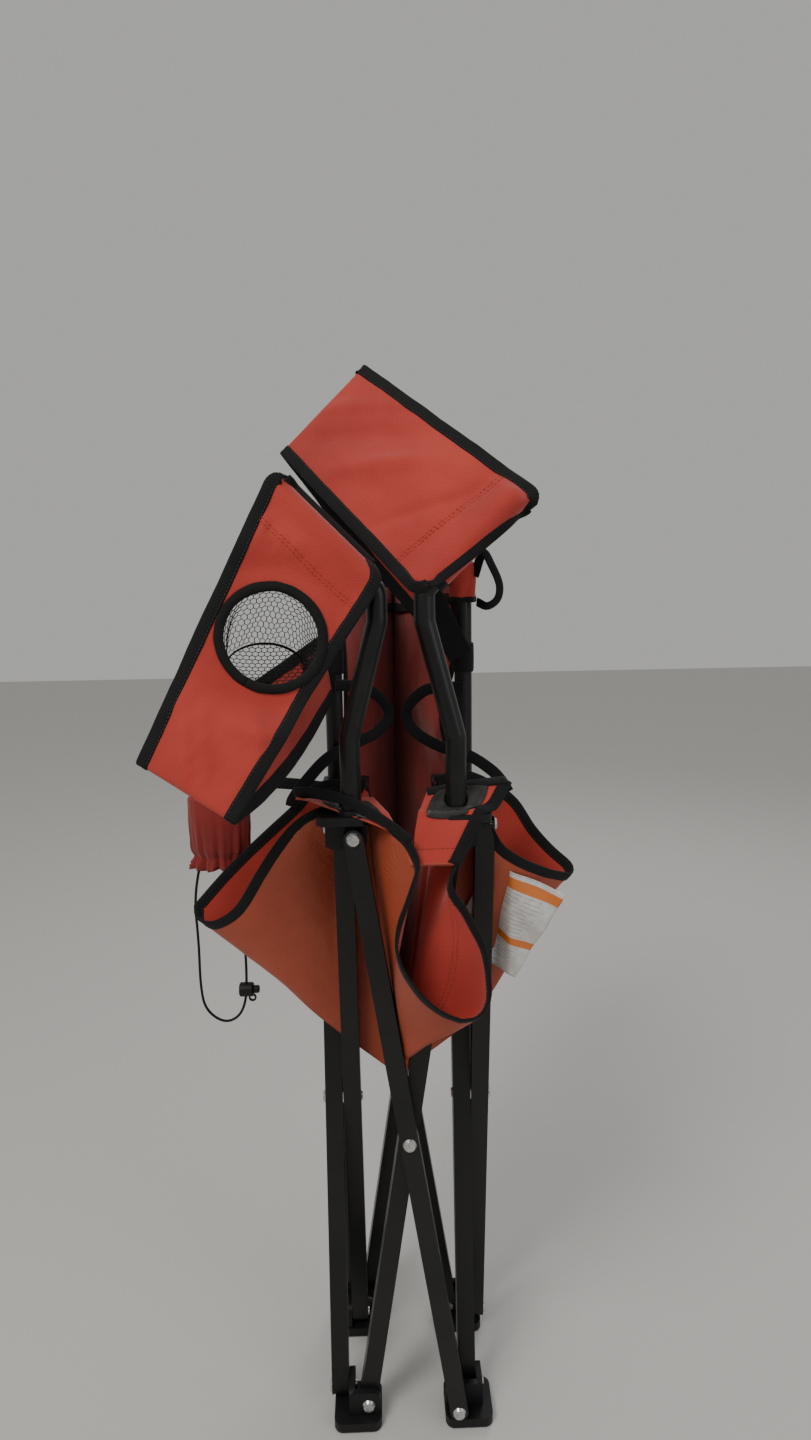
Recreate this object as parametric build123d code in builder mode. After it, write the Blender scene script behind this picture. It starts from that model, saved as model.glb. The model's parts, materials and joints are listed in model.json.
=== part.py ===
"""Folding camp chair, standing nearly folded: millimetres, +Z up, front towards -Y.

Four scissor frames (one per side) join four corner feet to four corner hubs.  The two rear
hubs are collars that slide on the back uprights; the two front hubs carry the arm posts.
"""
import os
from math import asin, atan2, cos, degrees, hypot, pi, radians, sin, tan

from build123d import *

os.makedirs("parts", exist_ok=True)

# ---------------------------------------------------------------- driving dimensions
TUBE = 18.0              # square leg tube, outside
WALL = 1.0               # tube wall
LEG = 620.0              # leg, end pivot to end pivot
LEAN = radians(8.6)      # leg angle from vertical as it stands
FOOT_Z = 22.0            # foot pivots above the floor
HALF = LEG / 2 * sin(LEAN)              # pivots from the middle of a side
HUB_Z = FOOT_Z + LEG * cos(LEAN)        # hub pivots
MID_Z = (FOOT_Z + HUB_Z) / 2
SEAM = HALF + 20.2       # plane between the outer and inner tube of a side
GAP = 0.5                # half of the space between the two tubes
PIN_R = 3.0              # rivet shank
RUN = 0.05               # radial running clearance
UPRIGHT = 67.5           # x and y of the back uprights
UPRIGHT_R = 9.0
UPRIGHT_TOP = 862.0
POST_X, POST_Y = 48.0, -64.0            # arm post where it leaves the front hub
POST_NECK_X = 21.0
POST_R = 9.5
POST_END = 115.0         # inclined end that fills the armrest pocket
PLATE = HUB_Z + 19       # top of a hub plate
OUT_IN, OUT_OUT = SEAM + GAP, SEAM + GAP + TUBE       # outer tube, from the middle outwards
IN_IN, IN_OUT = SEAM - GAP - TUBE, SEAM - GAP         # inner tube

SEAT_Q = HALF - 12.0     # seat corner from the centre lines
SEAT_Z = PLATE + 1.2
SEAT_DIP = 306.5         # centre of the seat below its corners
SEAT_MID = (172.0, 168.0)               # edge middle: out from the centre, below the corners
CLOTH = 1.0

BACK_CREASE = 310.5      # the folded back reaches this far behind the centre
BACK_LOW, BACK_HIGH = 482.0, 858.0

ARM_W = 118.0
ARM_POCKET = (62.0, POST_Y, 896.0)      # middle of the inclined end, +X side
ARM_ATTACH_Z = 780.0                    # armrest on the back upright
ARM_FOLD = {"left": (-179.2, -150.0, 696.5), "right": (-71.2, 53.0, 1028.0)}

CUP_R = 48.0             # outer radius of the cup holder ring
CUP_DEPTH = 58.0

CORD_D = 2.8
BAG_Y = 50.0
TOGGLE = (-170.3, BAG_Y, 426.3)

CORNERS = ["front_left", "front_right", "rear_right", "rear_left"]
SIDES = ["front", "right", "rear", "left"]


# ---------------------------------------------------------------- helpers
def quarter(x, y, k):
    """A point of the front-left corner, or the front side, turned k quarter turns."""
    for _ in range(k % 4):
        x, y = -y, x
    return x, y


def side_plane(k, out, u=0.0, z=0.0, lean=0.0):
    """Plane of side k at distance out from the middle, x along the side (or along a leg)."""
    ox, oy = quarter(u, -out, k)
    ax, ay = quarter(1, 0, k)
    nx, ny = quarter(0, -1, k)
    if lean:
        return Plane(
            origin=(ox, oy, z),
            x_dir=(ax * sin(lean), ay * sin(lean), cos(lean)),
            z_dir=(nx, ny, 0),
        )
    return Plane(origin=(ox, oy, z), x_dir=(ax, ay, 0), z_dir=(nx, ny, 0))


def block(k, x0, x1, y0, y1, z0, z1, r=0.0, mode=Mode.ADD):
    """Upright block with rounded corners, given for the front-left corner."""
    cx, cy = quarter((x0 + x1) / 2, (y0 + y1) / 2, k)
    w, d = (x1 - x0, y1 - y0) if k % 2 == 0 else (y1 - y0, x1 - x0)
    with BuildSketch(Plane.XY.offset(z0)) as face:
        with Locations((cx, cy)):
            if r:
                RectangleRounded(w, d, r)
            else:
                Rectangle(w, d)
    extrude(face.sketch, amount=z1 - z0, mode=mode)


def cheek(k, out0, out1, u0, u1, z0, z1, r, low):
    """Cheek plate of a corner block on side k; low rounds its lower corners instead."""
    with BuildSketch(side_plane(k, out0, (u0 + u1) / 2, (z0 + z1) / 2)) as face:
        Rectangle(u1 - u0, z1 - z0)
        rows = face.vertices().group_by(Axis.Z)
        fillet(rows[0] if low else rows[-1], r)
    extrude(face.sketch, amount=out1 - out0)


def bore(k, out0, out1, u, z, r):
    with BuildSketch(side_plane(k, out0, u, z)) as face:
        Circle(r)
    extrude(face.sketch, amount=out1 - out0, mode=Mode.SUBTRACT)


def rivet(k, u, z, out0, out1):
    """Domed rivet through side k from out0 to out1, with a low head inside."""
    with BuildSketch(side_plane(k, out0 - 0.1, u, z)) as shank:
        Circle(PIN_R)
    extrude(shank.sketch, amount=out1 - out0 + 0.2)
    with BuildSketch(side_plane(k, out1 + 0.1, u, z)) as dome:
        Circle(6.8)
    extrude(dome.sketch, amount=2.4, taper=32)
    with BuildSketch(side_plane(k, out0 - 0.1, u, z)) as head:
        Circle(5.2)
    extrude(head.sketch, amount=-1.6, taper=20)


def save(holder, label):
    holder.part.label = label
    export_step(holder.part, f"parts/{label}.step")


# ---------------------------------------------------------------- feet
for k, corner in enumerate(CORNERS):
    with BuildPart() as foot:
        block(k, -82, -33, -82, -33, 0, 11, r=9)
        cheek(k, IN_OUT + 0.4, SEAM + 6, -SEAM + 0.1, -34, 6, FOOT_Z + 15, 9, False)
        cheek(k - 1, SEAM - 6, OUT_IN - 0.4, 34, SEAM + 6, 6, FOOT_Z + 15, 9, False)
        if "rear" in corner:
            block(k, -81, -56.3, -81, -56.3, 4, 46, r=4)
            ux, uy = quarter(-UPRIGHT, -UPRIGHT, k)
            with Locations((ux, uy, 6)):
                Cylinder(
                    UPRIGHT_R + RUN, 60, align=(Align.CENTER, Align.CENTER, Align.MIN),
                    mode=Mode.SUBTRACT,
                )
        bore(k, SEAM - 8, SEAM + 8, -HALF, FOOT_Z, PIN_R + RUN)
        bore(k - 1, SEAM - 8, SEAM + 8, HALF, FOOT_Z, PIN_R + RUN)
        chamfer(foot.faces().sort_by(Axis.Z)[0].edges(), 1.2)
    save(foot, f"foot_{corner}")
    with BuildPart() as pins:
        rivet(k, -HALF, FOOT_Z, IN_IN, SEAM + 6)
        rivet(k - 1, HALF, FOOT_Z, SEAM - 6, OUT_OUT)
    save(pins, f"foot_rivets_{corner}")

# ---------------------------------------------------------------- hubs
for k, corner in enumerate(CORNERS):
    rear = "rear" in corner
    name = f"slider_{corner}" if rear else f"hub_{corner}"
    with BuildPart() as hub:
        block(k, -80, -33, -80, -33, HUB_Z + 11, PLATE, r=9)
        cheek(k - 1, IN_OUT + 0.4, SEAM + 6, 34, SEAM + 0.1, HUB_Z - 15, PLATE - 2, 9, True)
        cheek(k, SEAM - 6, OUT_IN - 0.4, -SEAM - 6, -34, HUB_Z - 15, PLATE - 2, 9, True)
        if rear:
            block(k, -81, -56.3, -81, -56.3, HUB_Z - 15, PLATE, r=4)
            ux, uy = quarter(-UPRIGHT, -UPRIGHT, k)
            with Locations((ux, uy, HUB_Z)):
                Cylinder(UPRIGHT_R + RUN, 90, mode=Mode.SUBTRACT)
        else:
            px = -POST_X if "left" in corner else POST_X
            with Locations((px, POST_Y, PLATE - 3)):
                Cylinder(13.5, 8, align=(Align.CENTER, Align.CENTER, Align.MIN))
            with Locations((px, POST_Y, HUB_Z + 14)):
                Cylinder(
                    POST_R + RUN, 40, align=(Align.CENTER, Align.CENTER, Align.MIN),
                    mode=Mode.SUBTRACT,
                )
        bore(k - 1, SEAM - 8, SEAM + 8, HALF, HUB_Z, PIN_R + RUN)
        bore(k, SEAM - 8, SEAM + 8, -HALF, HUB_Z, PIN_R + RUN)
    save(hub, name)
    with BuildPart() as pins:
        rivet(k - 1, HALF, HUB_Z, IN_IN, SEAM + 6)
        rivet(k, -HALF, HUB_Z, SEAM - 6, OUT_OUT)
    save(pins, f"hub_rivets_{corner}")

# ---------------------------------------------------------------- crossed legs
for k, side in enumerate(SIDES):
    for kind, inner_face, lean in (("outer", OUT_IN, -LEAN), ("inner", IN_IN, LEAN)):
        along = side_plane(k, inner_face, 0, MID_Z, lean)
        with BuildPart() as leg:
            with BuildSketch(along):
                SlotCenterToCenter(LEG, TUBE)
            extrude(amount=TUBE)
            heart = along.offset(TUBE / 2)
            with BuildSketch(Plane(origin=heart.origin, x_dir=heart.z_dir, z_dir=heart.x_dir)):
                Rectangle(TUBE - 2 * WALL, TUBE - 2 * WALL)
            extrude(amount=LEG, both=True, mode=Mode.SUBTRACT)
            with BuildSketch(along.offset(-1)):
                with Locations((-LEG / 2, 0), (0, 0), (LEG / 2, 0)):
                    Circle(PIN_R + RUN)
            extrude(amount=TUBE + 2, mode=Mode.SUBTRACT)
        save(leg, f"leg_{side}_{kind}")
    with BuildPart() as cross:
        rivet(k, 0, MID_Z, IN_IN, OUT_OUT)
        with BuildSketch(side_plane(k, IN_OUT + 0.06, 0, MID_Z)):
            Circle(8.5)
        extrude(amount=2 * GAP - 0.12)
    save(cross, f"cross_rivet_{side}")

# ---------------------------------------------------------------- back uprights
for side, sign in (("left", -1), ("right", 1)):
    at = (sign * UPRIGHT, UPRIGHT)
    with BuildPart() as upright:
        with BuildSketch(Plane.XY.offset(6.2)):
            with Locations(at):
                Circle(UPRIGHT_R)
                Circle(UPRIGHT_R - WALL, mode=Mode.SUBTRACT)
        extrude(amount=UPRIGHT_TOP - 6.2)
    save(upright, f"upright_{side}")
    with BuildPart() as cap:
        with BuildSketch(Plane.XY.offset(UPRIGHT_TOP + 0.05)):
            with Locations(at):
                Circle(UPRIGHT_R)
        extrude(amount=5, taper=12)
        with BuildSketch(Plane.XY.offset(UPRIGHT_TOP + 0.05)):
            with Locations(at):
                Circle(UPRIGHT_R - WALL - RUN)
        extrude(amount=-14)
    save(cap, f"upright_cap_{side}")

# ---------------------------------------------------------------- arm posts
for side, sign in (("left", -1), ("right", 1)):
    reach = POST_END / 2**0.5
    spine = [
        (sign * POST_X, POST_Y, HUB_Z + 14.3),
        (sign * POST_X, POST_Y, 724),
        (sign * POST_NECK_X, POST_Y, 828),
        (sign * POST_NECK_X, POST_Y, 855),
        (sign * (POST_NECK_X + reach), POST_Y, 855 + reach),
    ]
    with BuildPart() as post:
        with BuildLine():
            path = FilletPolyline(*spine, radius=14)
        with BuildSketch(Plane(origin=spine[0], z_dir=(0, 0, 1))):
            Circle(POST_R)
            Circle(POST_R - WALL, mode=Mode.SUBTRACT)
        sweep(path=path)
    save(post, f"arm_post_{side}")

# ---------------------------------------------------------------- seat, eight facets
def facet(corner, middle, centre, label):
    """Thin triangle of cloth, clear of the creases and of the hub it hangs from."""
    a, m, c = Vector(*corner), Vector(*middle), Vector(*centre)
    normal = (m - a).cross(c - a).normalized()
    sheet = Plane(origin=a, x_dir=(m - a).normalized(), z_dir=normal)
    with BuildPart() as cloth:
        with BuildSketch(sheet):
            corners = []
            for u, v in ((0.026, 0.11), (0.115, 0.018), (0.895, 0.018), (0.026, 0.887)):
                p = sheet.to_local_coords(a + (m - a) * u + (c - a) * v)
                corners.append((p.X, p.Y))
            Polygon(*corners, align=None)
        extrude(amount=CLOTH / 2, both=True)
    save(cloth, label)


seat_centre = (0.0, 0.0, SEAT_Z - SEAT_DIP)
for k, side in enumerate(SIDES):
    first = (*quarter(-SEAT_Q, -SEAT_Q, k), SEAT_Z)
    second = (*quarter(SEAT_Q, -SEAT_Q, k), SEAT_Z)
    middle = (*quarter(0, -SEAT_MID[0], k), SEAT_Z - SEAT_MID[1])
    facet(first, middle, seat_centre, f"seat_{side}_first")
    facet(second, middle, seat_centre, f"seat_{side}_second")

# ---------------------------------------------------------------- back, two halves
for side, sign in (("left", -1), ("right", 1)):
    run = Vector(-sign * UPRIGHT, BACK_CREASE - UPRIGHT, 0)
    away = run.normalized()
    near = Vector(sign * UPRIGHT, UPRIGHT, 0) + away * 27
    far = Vector(0, BACK_CREASE, 0) - away * 5
    mid = (near + far) * 0.5
    with BuildPart() as half:
        spot = (mid.X, mid.Y, BACK_LOW)
        with BuildSketch(Plane(origin=spot, x_dir=(away.X, away.Y, 0), z_dir=(0, 0, 1))):
            Rectangle((far - near).length, 2.4)
        extrude(amount=BACK_HIGH - BACK_LOW)
    save(half, f"back_{side}")


# ---------------------------------------------------------------- armrests
def strip_plane(start, end, across):
    """Plane of a strip from start to end: x along it, y across it."""
    s, e = Vector(*start), Vector(*end)
    along = (e - s).normalized()
    width = (Vector(*across) - along * Vector(*across).dot(along)).normalized()
    return Plane(origin=s, x_dir=along, z_dir=along.cross(width)), (e - s).length


arm_planes = {}
for side, sign in (("left", -1), ("right", 1)):
    pocket = (sign * ARM_POCKET[0], ARM_POCKET[1], ARM_POCKET[2])
    across = (sign * 0.7071, 0.0, 0.7071)
    fold = ARM_FOLD[side]
    sheet, length = strip_plane(pocket, fold, across)
    arm_planes[side] = sheet
    slant = abs(Vector(*across).dot(sheet.x_dir))
    start = 20 + ARM_W / 2 * tan(asin(slant))
    with BuildPart() as front_half:
        with BuildSketch(sheet):
            with Locations(((start + length - 6) / 2, 0)):
                Rectangle(length - 6 - start, ARM_W)
            if side == "left":
                with Locations((97, 2)):
                    Circle(CUP_R + 0.5, mode=Mode.SUBTRACT)
        extrude(amount=1.2, both=True)
    save(front_half, f"arm_{side}_front")
    end = (sign * UPRIGHT, UPRIGHT, ARM_ATTACH_Z)
    sheet, length = strip_plane(fold, end, across)
    with BuildPart() as rear_half:
        with BuildSketch(sheet):
            w = ARM_W / 2
            Polygon((6, -w), (length - 50, -15), (length - 50, 15), (6, w), align=None)
        extrude(amount=1.2, both=True)
    save(rear_half, f"arm_{side}_rear")

# ---------------------------------------------------------------- cup holder in the left armrest
lower = arm_planes["left"]
at = lower.origin + lower.x_dir * 97 + lower.y_dir * 2
# the net hangs behind the armrest
back_way = lower.z_dir if lower.z_dir.Y > 0 else lower.z_dir * -1
cup = Plane(origin=at, x_dir=lower.x_dir, z_dir=back_way)
with BuildPart() as ring:
    with BuildSketch(cup.offset(-2.5)):
        Circle(CUP_R)
        Circle(CUP_R - 6, mode=Mode.SUBTRACT)
    extrude(amount=5)
    chamfer(ring.edges().filter_by(GeomType.CIRCLE), 1)
save(ring, "cup_ring")
with BuildPart() as net:
    with BuildSketch(cup.offset(3)):
        Circle(CUP_R - 3)
    extrude(amount=CUP_DEPTH, taper=6)
    with BuildSketch(cup.offset(2)):
        Circle(CUP_R - 5)
    extrude(amount=CUP_DEPTH - 1.2, taper=6, mode=Mode.SUBTRACT)
save(net, "cup_net")

# ---------------------------------------------------------------- carry bag and its drawcord
with BuildPart() as bag:
    for z, a, b in ((567, 30, 17), (609, 32, 20), (650, 27, 15)):
        with BuildSketch(Plane.XY.offset(z)):
            with Locations((-190, BAG_Y)):
                Ellipse(a, b)
    loft()
save(bag, "carry_bag")

cord_xz = [
    (-213, 566.2), (-221, 536), (-218.7, 482), (-219.9, 430), (-215.3, 402),
    (-193, 386), (-172.5, 402), (-169, 450), (-171, 503), (-168.5, 538), (-172, 566.2),
]
cord_points = [(x, BAG_Y, z) for x, z in cord_xz]


def turn(a, b, c):
    first = atan2(b[1] - a[1], b[0] - a[0])
    second = atan2(c[1] - b[1], c[0] - b[0])
    return abs((second - first + pi) % (2 * pi) - pi)


radii = []
for a, b, c in zip(cord_xz, cord_xz[1:], cord_xz[2:]):
    shorter = min(hypot(b[0] - a[0], b[1] - a[1]), hypot(c[0] - b[0], c[1] - b[1]))
    radii.append(0.45 * shorter / tan(turn(a, b, c) / 2))
print("drawcord bend radii, mm:", [round(r, 1) for r in radii])
with BuildPart() as drawcord:
    with BuildLine():
        cord_path = FilletPolyline(*cord_points, radius=radii)
    start_way = Vector(*cord_points[1]) - Vector(*cord_points[0])
    with BuildSketch(Plane(origin=cord_points[0], z_dir=start_way)):
        Circle(CORD_D / 2)
    sweep(path=cord_path)
cord_length = cord_path.length
print("drawcord length, mm:", round(cord_length, 1))
print("drawcord volume over section x length:",
      round(drawcord.part.volume / (pi * CORD_D**2 / 4 * cord_length), 4))
save(drawcord, "drawcord")

barrel = Plane(origin=TOGGLE, x_dir=(0, 1, 0), z_dir=(1, 0, 0))
with BuildPart() as toggle:
    with BuildSketch(barrel.offset(-7.5)):
        Circle(7.6)
    extrude(amount=15)
    chamfer(toggle.edges().filter_by(GeomType.CIRCLE), 1.2)
    with BuildSketch(Plane(origin=(TOGGLE[0] + 6, BAG_Y, TOGGLE[2] - 9.5), z_dir=(0, 1, 0))):
        Circle(4.2)
        Circle(2.4, mode=Mode.SUBTRACT)
    extrude(amount=1.1, both=True)
    hole_way = Vector(*cord_points[7]) - Vector(*cord_points[6])
    with BuildSketch(Plane(origin=Vector(*cord_points[6]), z_dir=hole_way)):
        Circle(CORD_D / 2 + 0.35)
    extrude(amount=60, mode=Mode.SUBTRACT)
    with BuildSketch(barrel.offset(2.4)):
        Circle(4.2 + RUN)
    extrude(amount=8, mode=Mode.SUBTRACT)
save(toggle, "toggle_body")
with BuildPart() as plunger:
    with BuildSketch(barrel.offset(4.8)):
        Circle(4.2)
    extrude(amount=9)
    chamfer(plunger.faces().sort_by(Axis.X)[-1].edges(), 1)
save(plunger, "toggle_button")

# ---------------------------------------------------------------- hanging label, on the right edge
with BuildPart() as label:
    hang = Plane(origin=(98, -20.3, 531), x_dir=(1, 0, 0), z_dir=(0, -0.989, -0.1495))
    with BuildSketch(hang):
        with Locations(Rotation(0, 0, -27)):
            RectangleRounded(78, 104, 3)
    extrude(amount=0.5)
save(label, "hang_label")

# ---------------------------------------------------------------- carry strap on the right upright
with BuildPart() as strap:
    with BuildSketch(Plane(origin=(0, 52, 0), x_dir=(1, 0, 0), z_dir=(0, -1, 0))):
        with BuildLine():
            FilletPolyline((86, 888), (102, 856), (102, 841), (85, 832), radius=8)
        trace(line_width=12)
    extrude(amount=2)
save(strap, "carry_strap")

# ---------------------------------------------------------------- front corner patches
for side, sign in (("left", -1), ("right", 1)):
    with BuildPart() as patch:
        with BuildSketch(Plane.XY.offset(PLATE + 12.6)):
            with Locations((sign * (POST_X - 2), POST_Y + 2)):
                RectangleRounded(56, 50, 8)
            with Locations((sign * POST_X, POST_Y)):
                Circle(POST_R + 0.6, mode=Mode.SUBTRACT)
        extrude(amount=2)
    save(patch, f"seat_patch_front_{side}")

print("leg lean", round(degrees(LEAN), 2), "half spread", round(HALF, 2), "hub pivot", round(HUB_Z, 2))
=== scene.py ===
import json
from math import cos, exp, pi, radians, sin, sqrt

import bmesh
import bpy
from mathutils import Matrix, Vector, noise


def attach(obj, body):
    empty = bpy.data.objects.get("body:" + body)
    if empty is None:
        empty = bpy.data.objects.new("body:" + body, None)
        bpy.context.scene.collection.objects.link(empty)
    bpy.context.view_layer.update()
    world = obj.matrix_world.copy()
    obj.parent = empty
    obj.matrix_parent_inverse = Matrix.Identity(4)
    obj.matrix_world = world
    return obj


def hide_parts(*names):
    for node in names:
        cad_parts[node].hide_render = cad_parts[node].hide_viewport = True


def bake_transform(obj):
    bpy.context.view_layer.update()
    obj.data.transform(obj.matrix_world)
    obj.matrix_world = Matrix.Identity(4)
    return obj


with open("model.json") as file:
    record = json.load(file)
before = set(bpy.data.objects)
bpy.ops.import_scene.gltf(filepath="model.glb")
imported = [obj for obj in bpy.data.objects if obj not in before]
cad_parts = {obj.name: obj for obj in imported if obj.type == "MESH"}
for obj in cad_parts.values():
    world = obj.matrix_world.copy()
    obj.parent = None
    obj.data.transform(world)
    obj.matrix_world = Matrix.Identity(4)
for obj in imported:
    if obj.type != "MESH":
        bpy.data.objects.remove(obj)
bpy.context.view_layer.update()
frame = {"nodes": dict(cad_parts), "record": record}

noise.seed_set(7)                    # noise_vector would otherwise start from the clock
MM = 0.001
UP = Vector((0, 0, 1))
DOWN = Vector((0, 0, -1))

# sizes of the frame, in millimetres
LEG_LENGTH = 620                     # between the end pivots
LEG_LEAN = radians(8.6)              # off vertical, as it stands folded
FOOT_PIVOT_Z = 22
UPRIGHT_AT = 67.5                    # x and y of the uprights' axes
POST_X, POST_Y = 48, -64             # the arm posts where they leave the hubs
CUP_RING_RADIUS = 44.0
CLOTH = 0.9                          # thickness of the red cloth


def mm(*xyz):
    return Vector(xyz) * MM


def smooth01(x):
    x = min(1.0, max(0.0, x))
    return x * x * (3 - 2 * x)


def rounded_end(t, least):
    """Share of the full radius on a domed end: t runs from 0 where it begins to 1 at its tip."""
    return sqrt(max(0.0, 1 - t * t)) * (1 - least) + least


def fbm(p, scale, octaves=3):
    v, amp, tot = 0.0, 1.0, 0.0
    for _ in range(octaves):
        v += amp * noise.noise(p * scale)
        tot += amp
        scale *= 2.1
        amp *= 0.5
    return v / tot


# ------------------------------------------------------------------ camera
SENSOR_HEIGHT = 36.0
LENS = 22.2275


def make_camera():
    pitch, roll, turn_left = radians(10.3), radians(-0.9), radians(-1.7)
    fwd = Vector((0, cos(pitch), -sin(pitch)))
    up = Vector((0, sin(pitch), cos(pitch)))
    right = Vector((1, 0, 0))
    r = right * cos(roll) + up * sin(roll)
    u = up * cos(roll) - right * sin(roll)
    turn = Matrix.Rotation(turn_left, 3, "Z")
    r, u, fwd = turn @ r, turn @ u, turn @ fwd
    cam = bpy.data.objects.new("camera", bpy.data.cameras.new("camera"))
    bpy.context.scene.collection.objects.link(cam)
    cam.data.sensor_fit = "VERTICAL"
    cam.data.sensor_height = SENSOR_HEIGHT
    cam.data.lens = LENS
    cam.data.clip_start = 0.01
    rot = Matrix((r, u, -fwd)).transposed().to_4x4()
    cam.matrix_world = Matrix.Translation(mm(-20.5, -850.5, 882.6)) @ rot
    bpy.context.scene.camera = cam


make_camera()


# ------------------------------------------------------------------ materials
def new_material(name, rough, spec=0.5, metal=0.0, sheen=0.0, coat=0.0):
    mat = bpy.data.materials.new(name)
    mat.use_nodes = True
    nt = mat.node_tree
    bsdf = nt.nodes["Principled BSDF"]
    bsdf.inputs["Roughness"].default_value = rough
    bsdf.inputs["Specular IOR Level"].default_value = spec
    bsdf.inputs["Metallic"].default_value = metal
    bsdf.inputs["Sheen Weight"].default_value = sheen
    bsdf.inputs["Sheen Roughness"].default_value = 0.5
    bsdf.inputs["Coat Weight"].default_value = coat
    return mat, nt, bsdf


def math_node(nt, op, a, b=None, clamp=False):
    n = nt.nodes.new("ShaderNodeMath")
    n.operation = op
    n.use_clamp = clamp
    for i, x in enumerate((a, b)):
        if x is None:
            continue
        if isinstance(x, (int, float)):
            n.inputs[i].default_value = x
        else:
            nt.links.new(x, n.inputs[i])
    return n.outputs[0]


def times(nt, a, b):
    return math_node(nt, "MULTIPLY", a, b)


def plus(nt, a, b):
    return math_node(nt, "ADD", a, b)


def above(nt, a, b):
    return math_node(nt, "GREATER_THAN", a, b)


def mix_colour(nt, factor, base, colour):
    """The base where factor is 0 and the fixed colour where it is 1."""
    n = nt.nodes.new("ShaderNodeMix")
    n.data_type = "RGBA"
    inputs = [i for i in n.inputs if i.enabled]
    nt.links.new(factor, inputs[0])
    nt.links.new(base, inputs[1])
    inputs[2].default_value = (*colour, 1)
    return [o for o in n.outputs if o.enabled][0]


def ramp(nt, fac, stops):
    n = nt.nodes.new("ShaderNodeValToRGB")
    els = n.color_ramp.elements
    while len(els) < len(stops):
        els.new(0.5)
    for e, (pos, col) in zip(els, stops):
        e.position = pos
        e.color = (*col, 1)
    nt.links.new(fac, n.inputs[0])
    return n.outputs[0]


def noise_node(nt, vec, scale, detail=3.0, rough=0.5):
    n = nt.nodes.new("ShaderNodeTexNoise")
    n.inputs["Scale"].default_value = scale
    n.inputs["Detail"].default_value = detail
    n.inputs["Roughness"].default_value = rough
    nt.links.new(vec, n.inputs["Vector"])
    return n.outputs["Fac"]


def bump(nt, bsdf, height, strength, distance, prior=None):
    n = nt.nodes.new("ShaderNodeBump")
    n.inputs["Strength"].default_value = strength
    n.inputs["Distance"].default_value = distance
    nt.links.new(height, n.inputs["Height"])
    if prior is not None:
        nt.links.new(prior, n.inputs["Normal"])
    nt.links.new(n.outputs[0], bsdf.inputs["Normal"])
    return n.outputs[0]


def coords(nt, kind="Object"):
    return nt.nodes.new("ShaderNodeTexCoord").outputs[kind]


def weave_height(nt, uv, period):
    """Plain weave from the cloth's own map, which is in metres."""
    sep = nt.nodes.new("ShaderNodeSeparateXYZ")
    nt.links.new(uv, sep.inputs[0])
    k = 2 * pi / period
    su = math_node(nt, "SINE", times(nt, sep.outputs[0], k))
    sv = math_node(nt, "SINE", times(nt, sep.outputs[1], k))
    return plus(nt, times(nt, times(nt, su, sv), 0.5), 0.5)


def cloth_material(name, dark, mid, light, period=0.0017, sheen=0.25, rough=0.78, spec=0.35,
                   depth=0.00025, crease=0.0011):
    mat, nt, bsdf = new_material(name, rough, spec, sheen=sheen)
    uv = coords(nt, "UV")
    obj = coords(nt, "Object")
    weave = weave_height(nt, uv, period)
    big = noise_node(nt, obj, 9, 3)
    fine = noise_node(nt, uv, 900, 2)
    tone = plus(nt, times(nt, big, 0.55), times(nt, weave, 0.30))
    tone = plus(nt, tone, times(nt, fine, 0.16))
    nt.links.new(ramp(nt, tone, [(0.3, dark), (0.5, mid), (0.7, light)]), bsdf.inputs["Base Color"])
    creases = bump(nt, bsdf, noise_node(nt, obj, 34, 4, 0.55), 0.55, crease)
    bump(nt, bsdf, weave, 0.55, depth, creases)
    nt.links.new(plus(nt, times(nt, fine, 0.16), rough - 0.08), bsdf.inputs["Roughness"])
    return mat


def plastic_material(name, col, rough=0.5, grain=700, wear=0.5):
    mat, nt, bsdf = new_material(name, rough, 0.3)
    obj = coords(nt, "Object")
    big = noise_node(nt, obj, 26, 4)
    tiny = noise_node(nt, obj, grain, 2)
    hi = tuple(c * 1.8 + 0.002 for c in col)
    tone = plus(nt, times(nt, big, wear), times(nt, tiny, 1 - wear))
    nt.links.new(ramp(nt, tone, [(0.35, col), (0.75, hi)]), bsdf.inputs["Base Color"])
    nt.links.new(plus(nt, times(nt, tone, 0.3), rough - 0.15), bsdf.inputs["Roughness"])
    bump(nt, bsdf, tiny, 0.25, 0.00012)
    return mat


def tube_material(name):
    """Powder coat with fine orange peel, dust and a few scuffs."""
    mat, nt, bsdf = new_material(name, 0.36, 0.32, coat=0.08)
    obj = coords(nt, "Object")
    peel = noise_node(nt, obj, 900, 2)
    dust = noise_node(nt, obj, 14, 5, 0.62)
    stretch = nt.nodes.new("ShaderNodeMapping")
    stretch.inputs["Scale"].default_value = (160, 160, 9)
    nt.links.new(obj, stretch.inputs["Vector"])
    scuff = noise_node(nt, stretch.outputs[0], 1.0, 5, 0.7)
    col = ramp(nt, dust, [(0.35, (0.005, 0.005, 0.0055)), (0.7, (0.011, 0.0108, 0.0105))])
    scuffed = mix_colour(nt, above(nt, scuff, 0.735), col, (0.055, 0.054, 0.052))
    nt.links.new(scuffed, bsdf.inputs["Base Color"])
    nt.links.new(plus(nt, times(nt, dust, 0.35), 0.2), bsdf.inputs["Roughness"])
    bump(nt, bsdf, peel, 0.2, 0.00008)
    return mat


def steel_material(name):
    mat, nt, bsdf = new_material(name, 0.3, 0.5, metal=1.0)
    obj = coords(nt, "Object")
    n = noise_node(nt, obj, 420, 4, 0.6)
    col = ramp(nt, n, [(0.3, (0.42, 0.42, 0.41)), (0.7, (0.75, 0.75, 0.74))])
    nt.links.new(col, bsdf.inputs["Base Color"])
    nt.links.new(plus(nt, times(nt, n, 0.3), 0.14), bsdf.inputs["Roughness"])
    bump(nt, bsdf, n, 0.15, 0.00008)
    return mat


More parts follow.
